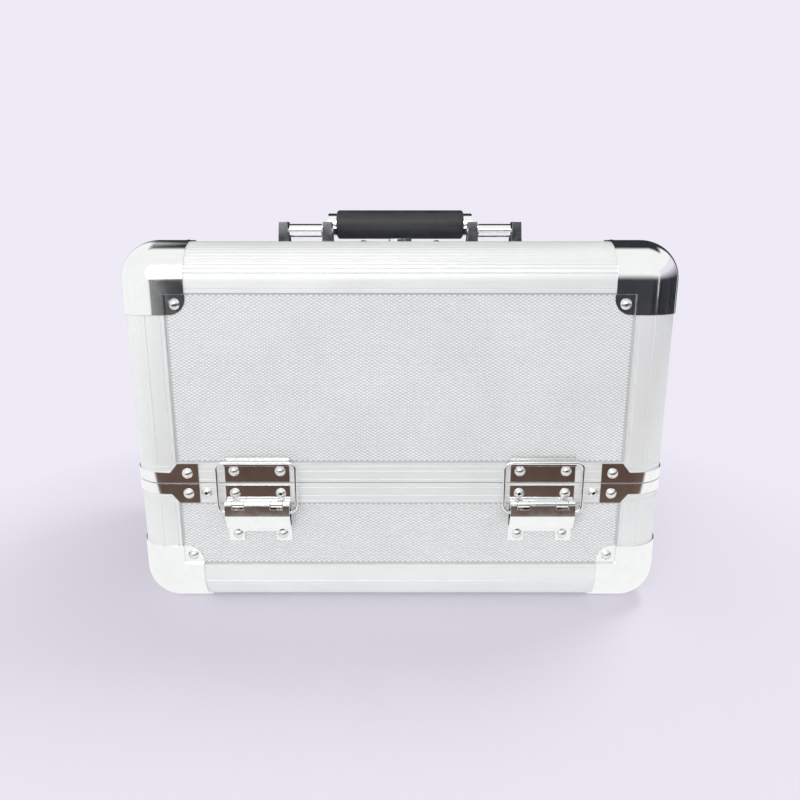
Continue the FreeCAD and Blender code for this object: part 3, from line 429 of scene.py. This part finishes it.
def emboss_tree():
    """Two grids of low diamonds, the second half a step away from the first."""
    tree, given = node_group("diamond_embossing", [
        ("Columns", "Int"), ("Rows", "Int"), ("Pitch X", "Float"), ("Pitch Y", "Float"), ("Rise", "Float"),
        ("Finish", "Material")])
    points = tree.nodes.new("GeometryNodeJoinGeometry")
    step_y = math_node(tree, "MULTIPLY", given["Pitch Y"], 2)
    for fewer in (0, 1):
        columns = math_node(tree, "SUBTRACT", given["Columns"], fewer)
        rows = math_node(tree, "SUBTRACT", given["Rows"], fewer)
        wide = math_node(tree, "MULTIPLY", math_node(tree, "SUBTRACT", columns, 1), given["Pitch X"])
        tall = math_node(tree, "MULTIPLY", math_node(tree, "SUBTRACT", rows, 1), step_y)
        grid = add(tree, "GeometryNodeMeshGrid", Vertices_X=columns, Vertices_Y=rows, Size_X=wide, Size_Y=tall)
        fill(tree, points.inputs["Geometry"], grid.outputs["Mesh"])
    diamond = add(tree, "GeometryNodeMeshCone", Vertices=4, Radius_Top=DIAMOND_TOP, Radius_Bottom=1.0, Depth=1.0)
    size = add(tree, "ShaderNodeCombineXYZ", X=math_node(tree, "MULTIPLY", given["Pitch X"], DIAMOND_FILL / 2),
               Y=math_node(tree, "MULTIPLY", given["Pitch Y"], DIAMOND_FILL), Z=given["Rise"])
    spread = add(tree, "GeometryNodeInstanceOnPoints", Points=points.outputs["Geometry"],
                 Instance=diamond.outputs["Mesh"], Scale=size.outputs["Vector"])
    close_group(tree, spread.outputs["Instances"], given["Finish"])
    return tree


embossing = emboss_tree()
print("embossing tree of", len(embossing.nodes), "nodes")


# %% One embossed skin for each outer face
def grown(name, tree, mesh, **inputs):
    """Runs a node tree on a mesh and gives the outcome as a plain object with no modifier."""
    item = in_scene(bpy.data.objects.new(name, mesh))
    modifier = item.modifiers.new("nodes", "NODES")
    modifier.node_group = tree
    keys = {socket.name: socket.identifier for socket in tree.interface.items_tree if socket.in_out == "INPUT"}
    for label, value in inputs.items():
        modifier[keys[label.replace("_", " ")]] = value
    graph = bpy.context.evaluated_depsgraph_get()
    outcome = bpy.data.meshes.new_from_object(item.evaluated_get(graph))
    item.modifiers.remove(modifier)
    item.data = outcome
    return item


def emboss(name, body, centre, across, upward, wide, tall):
    """Diamonds on a face: across and upward lie in it, and their cross product looks outwards."""
    outward = across.cross(upward)
    item = grown(name, embossing, bpy.data.meshes.new(name), Columns=int(wide / PITCH_X),
                 Rows=int(tall / (2 * PITCH_Y)), Pitch_X=PITCH_X, Pitch_Y=PITCH_Y, Rise=RISE, Finish=embossed)
    turn = Matrix((across, upward, outward)).transposed().to_4x4()
    item.data.transform(Matrix.Translation(centre - outward * SUNK) @ turn)
    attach(item, body)
    return len(item.data.polygons) // DIAMOND_FACES


OPEN_W, OPEN_D = 2 * (HALF_W - LEG), 2 * (HALF_D - LEG)
diamonds = 0
for half in ("base", "lid"):
    posts_low, posts_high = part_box(f"{half}_corner_posts")
    tall, middle = posts_high.z - posts_low.z, (posts_high.z + posts_low.z) / 2
    for side, across, outward in (("front", X, -Y), ("back", -X, Y), ("left", -Y, -X), ("right", Y, X)):
        skin = max(corner.dot(outward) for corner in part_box(f"{half}_{side}_panel"))
        diamonds += emboss(f"{half}_{side}_embossing", half, outward * skin + Z * middle, across, Z,
                           OPEN_W if across.x else OPEN_D, tall)
diamonds += emboss("lid_top_embossing", "lid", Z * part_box("lid_top_panel")[1].z, X, Y, OPEN_W, OPEN_D)
print(diamonds, "diamonds on 9 faces")

# %% [markdown]
# ## Rivets
# The sheet-metal parts are riveted on. The frame knows where each rivet sits, so its solids are read off one by one.
# A node tree then stands a turned head on every seat, looking away from the sheet. Blind rivets are pulled tight from
# outside with a mandrel that breaks off, and leave a small hole in the middle. A short plug deep in that hole is
# painted near black: painted shade of the hole.

# %% Where the rivets sit
RIVET_HOLE = 1.1


def solids_of(node):
    """The separate solids of a node, each as a list of points."""
    form = bmesh.new()
    form.from_mesh(nodes[node].data)
    bmesh.ops.remove_doubles(form, verts=form.verts, dist=1e-6)
    left, found = set(form.verts), []
    while left:
        todo, group = [left.pop()], []
        while todo:
            vert = todo.pop()
            group.append(vert.co.copy())
            near = {edge.other_vert(vert) for edge in vert.link_edges} & left
            left -= near
            todo += near
        found.append(group)
    form.free()
    return found


def rivet_seats(node):
    """Place, outward direction, height and kind of every rivet of a node."""
    seats = []
    inside = Z * cad_box[1].z / 2
    for points in solids_of(node):
        low = Vector(min(point[axis] for point in points) for axis in range(3))
        high = Vector(max(point[axis] for point in points) for axis in range(3))
        size, centre = high - low, (low + high) / 2
        axis = min(range(3), key=lambda number: size[number])
        outward = (X, Y, Z)[axis] * (1 if centre[axis] > inside[axis] else -1)
        offsets = [point - centre for point in points]
        nearest = min((offset - outward * offset.dot(outward)).length for offset in offsets)
        seats.append((centre - outward * size[axis] / 2, outward, size[axis], nearest > RIVET_HOLE * MM / 2))
    return seats


seats = {half: rivet_seats(f"{half}_rivets") for half in ("base", "lid")}
for half, found in seats.items():
    print(half, len(found), "rivets,", sum(blind for *_, blind in found), "of them blind")


# %% Turned heads
def turned(name, outline, steps=28):
    """A closed round body from a list of (radius, height) in mm, from its top to its foot."""
    form = bmesh.new()
    rings = []
    for radius, height in outline:
        turns = [2 * math.pi * step / steps for step in range(steps if radius else 1)]
        rings.append([form.verts.new(Vector((radius * math.cos(turn), radius * math.sin(turn), height)) * MM)
                      for turn in turns])
    for first, second in zip(rings, rings[1:]):
        for step in range(steps):
            corners = [first[step % len(first)], second[step % len(second)],
                       second[(step + 1) % len(second)], first[(step + 1) % len(first)]]
            form.faces.new(dict.fromkeys(corners))
    return solid(name, form)


HEAD_TALL, FOOT = 2.2, -0.3
DOME = [(1.5, 1.86), (2.2, 1.48), (2.85, 0.92), (3.35, 0.36), (3.6, 0.16), (3.6, FOOT), (0, FOOT)]
heads = {
    "solid": turned("solid_head", [(0, HEAD_TALL), (0.75, 2.10), *DOME]),
    "blind": turned("blind_head", [(0, 0.6), (RIVET_HOLE, 0.6), (RIVET_HOLE, 1.9), (1.3, 2.05), *DOME]),
    # the third body is a short plug deep in the blind hole, painted near black as the hole's painted shade
    "stem": turned("stem", [(0, 1.3), (RIVET_HOLE, 1.3), (RIVET_HOLE, 0.3), (0, 0.3)], 16)}
print({kind: len(head.data.polygons) for kind, head in heads.items()}, "faces")


# %% Heads on their seats
def rivet_tree():
    """A head on every point, turned to the point's outward direction and as tall as it says."""
    tree, given = node_group("rivet_heads", [("Geometry", "Geometry"), ("Head", "Object"), ("Finish", "Material")])
    head = add(tree, "GeometryNodeObjectInfo", Object=given["Head"])
    named = {}
    for name, kind in (("outward", "FLOAT_VECTOR"), ("tallness", "FLOAT")):
        node = add(tree, "GeometryNodeInputNamedAttribute", Name=name)
        node.data_type = kind
        named[name] = next(socket for socket in node.outputs if socket.enabled and socket.name == "Attribute")
    align = add(tree, "FunctionNodeAlignRotationToVector", Vector=named["outward"])
    align.axis = "Z"
    size = add(tree, "ShaderNodeCombineXYZ", X=1.0, Y=1.0, Z=named["tallness"])
    spread = add(tree, "GeometryNodeInstanceOnPoints", Points=given["Geometry"], Instance=head.outputs["Geometry"],
                 Rotation=align.outputs["Rotation"], Scale=size.outputs["Vector"])
    close_group(tree, spread.outputs["Instances"], given["Finish"])
    return tree


riveting = rivet_tree()
for half, found in seats.items():
    for kind, head in heads.items():
        chosen = [seat for seat in found if seat[3] == (kind != "solid")]
        if not chosen:
            continue
        mesh = bpy.data.meshes.new(f"{half}_{kind}_seats")
        mesh.from_pydata([seat[0] for seat in chosen], [], [])
        outwards = mesh.attributes.new("outward", "FLOAT_VECTOR", "POINT")
        outwards.data.foreach_set("vector", [part for seat in chosen for part in seat[1]])
        tallness = mesh.attributes.new("tallness", "FLOAT", "POINT")
        tallness.data.foreach_set("value", [seat[2] / (HEAD_TALL * MM) for seat in chosen])
        # the plug gets the painted shade of the hole, the heads get chrome
        coat = hole_shade if kind == "stem" else rivet_chrome
        item = grown(f"{half}_{kind}_rivet_heads", riveting, mesh, Head=head, Finish=coat)
        dress(item, coat, half, "rivets", f"{half}_rivets")
        print(half, len(chosen), kind, "heads set")
for head in heads.values():
    bpy.data.objects.remove(head)

# %% [markdown]
# ## Grip
# The carry grip is a tube of matte black foam rubber over the rod between the two arms. A turned outline with soft
# ends is enough for its shape; its grain is in the finish.

# %% Grip
GRIP_SOFT, GRIP_STEPS = 2.2, 4
low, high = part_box("handle_grip")
GRIP_RADIUS, GRIP_HALF = (high.z - low.z) / 2 / MM, (high.x - low.x) / 2 / MM
outline = [(0, GRIP_HALF)]
for step in range(GRIP_STEPS + 1):
    turn = math.pi / 2 * step / GRIP_STEPS
    outline.append((GRIP_RADIUS - GRIP_SOFT * (1 - math.sin(turn)), GRIP_HALF - GRIP_SOFT * (1 - math.cos(turn))))
outline += [(GRIP_RADIUS, GRIP_HALF * part) for part in (2 / 3, 1 / 3, 0)]
outline += [(radius, -height) for radius, height in outline[-2::-1]]
grip = turned("carry_grip", outline, 72)
grip.data.transform(Matrix.Translation((low + high) / 2) @ Matrix.Rotation(math.pi / 2, 4, "Y"))
dress(grip, grip_black, "handle", "grip", "handle_grip")
print("grip", round(2 * GRIP_HALF, 1), "by", round(2 * GRIP_RADIUS, 1), "mm")

# %% [markdown]
# ## Inside
# Nothing of the inside shows while the case is shut, but it has to be there when the lid goes up. A dark cloth is
# glued to the boards and round the inner corners, where it hides the back of the aluminium. A soft foam mat lies on
# the floor: thicker in the middle, thin at its cut edge, and a little uneven.

# %% Lining
LINING, LINING_STEPS, CORNER_GAP = 0.6, 6, 0.05
FULL = ROUND / MM


def wall_line(inset, level, up, rim):
    """A line from the rim along the wall and round the corner to the level board, as (inset, height)."""
    reach = FULL - inset
    turns = [math.pi / 2 * step / LINING_STEPS for step in range(LINING_STEPS + 1)]
    bend = [(FULL - reach * math.cos(turn) - CORNER_GAP, level + up * (FULL - reach * math.sin(turn)))
            for turn in turns]
    return [(inset, rim), *bend]


for half, up, outer in (("base", 1, 0), ("lid", -1, 1)):
    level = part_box(f"{half}_edge_front")[outer].z / MM
    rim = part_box(f"{half}_rim")[outer].z / MM + up * RIM_LIP
    form = bmesh.new()
    sweep(form, wall_line(SKIN, level, up, rim) + wall_line(SKIN + LINING, level, up, rim)[::-1])
    corners = [form.verts.new((x * (HALF_W - ROUND), y * (HALF_D - ROUND), (level + up * inset) * MM))
               for x in (-1, 1) for y in (-1, 1) for inset in (SKIN, SKIN + LINING)]
    bmesh.ops.convex_hull(form, input=corners)
    dress(solid(f"{half}_lining", form), lining_black, half, "mat")
print("2 linings,", LINING, "mm thick")

# %% Floor mat
MAT_EDGE, MAT_RIM, MAT_CROWN, DIMPLE, DIMPLE_PITCH = 9 * MM, 0.25, 0.65, 0.06, 9 * MM
low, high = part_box("base_floor_mat")
centre, size = (low + high) / 2, high - low
form = bmesh.new()
bmesh.ops.create_grid(form, x_segments=60, y_segments=32, size=0.5)
for vert in form.verts:
    x, y = vert.co.x * size.x, vert.co.y * size.y
    from_edge = min(size.x / 2 - abs(x), size.y / 2 - abs(y))
    crown = 1 - max(0.0, 1 - from_edge / MAT_EDGE) ** 2
    dimple = DIMPLE * math.sin(x / DIMPLE_PITCH) * math.sin(y / DIMPLE_PITCH)
    vert.co = (centre.x + x, centre.y + y, low.z + size.z * (MAT_RIM + crown * (MAT_CROWN + dimple)))
for item in bmesh.ops.extrude_face_region(form, geom=form.faces[:])["geom"]:
    if isinstance(item, bmesh.types.BMVert):
        item.co.z = low.z + LINING * MM
mat = dress(solid("floor_mat", form), foam, "base", "mat", "base_floor_mat")
print("mat", [round(side / MM) for side in size], "mm")

# %% [markdown]
# ## Trays
# The trays are moulded, and a mould leaves no edge quite sharp. Their long edges are rounded on a copy of the
# frame's own mesh.

# %% Trays with soft edges
SOFT_EDGE, LONG_EDGE, FOLD = 0.7 * MM, 12 * MM, math.radians(40)
for node in ("lower_tray", "upper_tray"):
    form = bmesh.new()
    form.from_mesh(nodes[node].data)
    bmesh.ops.remove_doubles(form, verts=form.verts, dist=1e-6)
    bmesh.ops.dissolve_limit(form, angle_limit=math.radians(1), verts=form.verts, edges=form.edges)
    folds = [edge for edge in form.edges
             if edge.calc_length() > LONG_EDGE and len(edge.link_faces) == 2 and edge.calc_face_angle() > FOLD]
    bmesh.ops.bevel(form, geom=folds, offset=SOFT_EDGE, segments=3, profile=0.5, affect="EDGES", clamp_overlap=True)
    dress(solid(f"{node}_moulding", form), tray_black, node, "trays", node)
    print(node, len(folds), "edges rounded")

# %% [markdown]
# ## Stage and light
# A pale floor fades into a background of the same colour, as on a roll of paper. The light is an even white sky, a
# lamp high at the back on the right, which throws the shadow to the left and forward, and a large soft lamp in front.
# Together they are set so that a colour comes out about as it is written. The sky that is looked at, straight or in a
# mirror, has the colour of the paper, and only the light that falls on the case is white.

# %% Floor
PALE = (0.855, 0.823, 0.922)
FLOOR_SIZE, FADE_FROM, FADE_TO = 6.0, 0.21, 0.44
FLOOR_CORNERS = ((-1, -1), (1, -1), (1, 1), (-1, 1))
paper, tree = node_material("pale_paper")
distance = tree.nodes.new("ShaderNodeVectorMath")
distance.operation = "LENGTH"
fill(tree, distance.inputs[0], tree.nodes.new("ShaderNodeTexCoord").outputs["Object"])
fade = add(tree, "ShaderNodeMapRange", Value=distance.outputs["Value"], From_Min=FADE_FROM, From_Max=FADE_TO)
near = add(tree, "ShaderNodeBsdfDiffuse", Color=(*PALE, 1))
far = add(tree, "ShaderNodeEmission", Color=(*PALE, 1))
surface(tree, mixed_shader(tree, fade.outputs["Result"], near, far))
floor_mesh = bpy.data.meshes.new("floor")
floor_mesh.from_pydata([(x * FLOOR_SIZE, y * FLOOR_SIZE, 0) for x, y in FLOOR_CORNERS], [], [range(4)])
floor_mesh.materials.append(paper)
in_scene(bpy.data.objects.new("floor", floor_mesh))
print("floor fades from", FADE_FROM, "to", FADE_TO, "m")

# %% Sky and lamps
SKY = 0.56
world = bpy.data.worlds.new("studio")
bpy.context.scene.world = world
world.use_nodes = True
tree = world.node_tree
tree.nodes.clear()
rays = tree.nodes.new("ShaderNodeLightPath").outputs
sky = add(tree, "ShaderNodeBackground", Color=(1, 1, 1, 1), Strength=SKY)
backdrop = add(tree, "ShaderNodeBackground", Color=(*PALE, 1))
looked_at = rays["Is Camera Ray"]
for kind in ("Is Glossy Ray", "Is Transmission Ray"):
    looked_at = math_node(tree, "MAXIMUM", looked_at, rays[kind])
add(tree, "ShaderNodeOutputWorld", Surface=mixed_shader(tree, looked_at, sky, backdrop).outputs[0])

AIM = Vector((0, 0, 0.12))
# name, place, size, power, and whether mirrors show it
LAMPS = [("key", (0.75, 0.45, 1.5), 0.6, 6.5, False), ("front", (-0.25, -1.5, 0.8), 1.4, 10.5, True)]
for name, place, size, power, mirrored in LAMPS:
    data = bpy.data.lights.new(name, "AREA")
    data.shape = "DISK"
    data.size, data.energy = size, power
    lamp = in_scene(bpy.data.objects.new(name, data))
    lamp.location = place
    lamp.visible_glossy = mirrored
    lamp.rotation_euler = (AIM - lamp.location).to_track_quat("-Z", "Y").to_euler()
bpy.context.scene.view_settings.view_transform = "Standard"
print("sky and", len(LAMPS), "lamps")

# %% [markdown]
# ## What the chrome mirrors
# Chrome has no colour of its own: it shows the room. A photographer therefore stands white and dark cards round it,
# out of the picture. Here they glow, and only mirrors can see them. White ones are under the case, over it, on its
# left and far in front. Dark ones are the table that begins in front of it and the room before, beside, behind and
# partly above it. The border of a card fades away, so that light and dark run softly into each other on the bent
# corners.

# %% A card with a soft border
CARD_SPOT = 250


def card(name, corner, along, upward, soft, dark, light):
    """A glowing rectangle that only mirrors see; soft has the widths of its faded border along both sides."""
    stops = [(0, border / side.length, 1 - border / side.length, 1) for side, border in zip((along, upward), soft)]
    grid = [(right, up) for up in stops[1] for right in stops[0]]
    mesh = bpy.data.meshes.new(name)
    mesh.from_pydata([corner + along * right + upward * up for right, up in grid], [],
                     [(first, first + 1, first + 5, first + 4) for first in (0, 1, 2, 4, 5, 6, 8, 9, 10)])
    opaque = mesh.attributes.new("opaque", "FLOAT", "POINT")
    opaque.data.foreach_set("value", [float(0 < right < 1 and 0 < up < 1) for right, up in grid])
    material, tree = node_material(name)
    cover = tree.nodes.new("ShaderNodeAttribute")
    cover.attribute_name = "opaque"
    clear = tree.nodes.new("ShaderNodeBsdfTransparent")
    glow = add(tree, "ShaderNodeEmission", Color=wandering_colour(tree, mottle(tree, CARD_SPOT), dark, light))
    surface(tree, mixed_shader(tree, cover.outputs["Fac"], clear, glow))
    mesh.materials.append(material)
    item = in_scene(bpy.data.objects.new(name, mesh))
    item.visible_camera = item.visible_diffuse = item.visible_shadow = item.visible_transmission = False
    print(name, round(along.length, 2), "by", round(upward.length, 2), "m")


# %% White cards
WHITE = ((0.96, 0.97, 0.96), (1.01, 1.02, 1.01))
FAR, SHEET_Z, CEILING_Z, WHITE_WALL, NARROW = 3.0, 0.001, 1.75, -2.5, 0.1
WIDTH, DEPTH, HEIGHT = X * 2 * FAR, Y * 2 * FAR, Z * (CEILING_Z + 2 * NARROW)
card("white_sheet", Vector((-FAR, -FAR, SHEET_Z)), WIDTH, DEPTH, (NARROW, NARROW), *WHITE)
card("white_ceiling", Vector((-FAR, -FAR, CEILING_Z)), WIDTH, DEPTH, (NARROW, NARROW), *WHITE)
card("white_left", Vector((WHITE_WALL, -FAR, -NARROW)), DEPTH, HEIGHT, (NARROW, NARROW), *WHITE)
card("white_front", Vector((-FAR, WHITE_WALL, -NARROW)), WIDTH, HEIGHT, (NARROW, NARROW), *WHITE)

# %% Dark cards
TABLE = ((0.07, 0.042, 0.032), (0.16, 0.11, 0.085))
ROOM = ((0.012, 0.014, 0.017), (0.05, 0.054, 0.062))
LEFT, RIGHT, FRONT, BACK, BACK_LEFT, TABLE_EDGE, TOP_EDGE = -0.88, 1.7, -1.6, 1.2, -1.0, -0.26, 0.1
TABLE_Z, WALL_TOP, ROOM_TOP, UNDER = 0.002, 0.75, 1.7, 0.5
SEAM, CRISP, SOFT, BROAD, TALL = 0.01, 0.02, 0.2, 0.3, 0.45
LOW_WALL, HIGH_WALL = Z * (WALL_TOP + UNDER), Z * (ROOM_TOP + UNDER)
BACK_WIDTH = X * (RIGHT - BACK_LEFT)
card("dark_table", Vector((LEFT, -FAR, TABLE_Z)), X * (FAR - LEFT), Y * (FAR + TABLE_EDGE), (SOFT, CRISP), *TABLE)
card("room_front", Vector((LEFT, FRONT, -UNDER)), X * (RIGHT - LEFT), LOW_WALL, (SOFT, TALL), *ROOM)
card("room_right", Vector((RIGHT, FRONT, -UNDER)), Y * (BACK - FRONT), LOW_WALL, (NARROW, TALL), *ROOM)
card("room_back", Vector((BACK_LEFT, BACK, -UNDER)), BACK_WIDTH, HIGH_WALL, (BROAD, SEAM), *ROOM)
card("room_top", Vector((BACK_LEFT, TOP_EDGE, ROOM_TOP)), BACK_WIDTH, Y * (BACK + BROAD - TOP_EDGE), (BROAD, BROAD),
     *ROOM)
